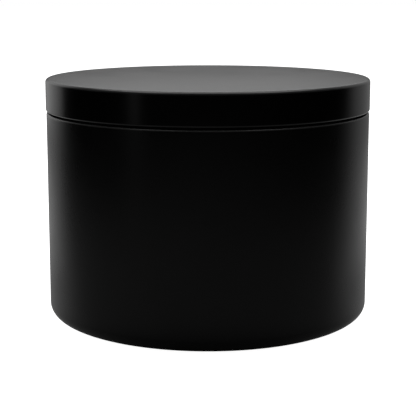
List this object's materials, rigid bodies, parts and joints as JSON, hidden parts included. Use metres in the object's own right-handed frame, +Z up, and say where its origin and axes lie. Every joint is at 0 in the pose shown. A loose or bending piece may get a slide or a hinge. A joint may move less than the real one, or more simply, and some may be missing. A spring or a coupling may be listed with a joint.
{
  "type": "candle tin",
  "caption": "Round matte black drawn tinplate tin with a slip lid that lifts straight off, for poured candles.",
  "frame": {"origin": "centre of the circle that the tin stands on", "axes": "+Z up along the tin's axis, towards the lid; the tin is round, so X and Y are interchangeable"},
  "size_m": [0.08, 0.08, 0.0587],
  "materials": {
    "body_black_lacquer": "matte",
    "lid_black_lacquer": "matte"
  },
  "bodies": {
    "tin": {"tin_body": "body_black_lacquer"},
    "lid": {"lid": "lid_black_lacquer"}
  },
  "joints": [
    {"name": "lid_lift", "type": "slide", "parent": "tin", "child": "lid", "axis": [0, 0, 1], "range_m": [0, 0.08]}
  ]
}
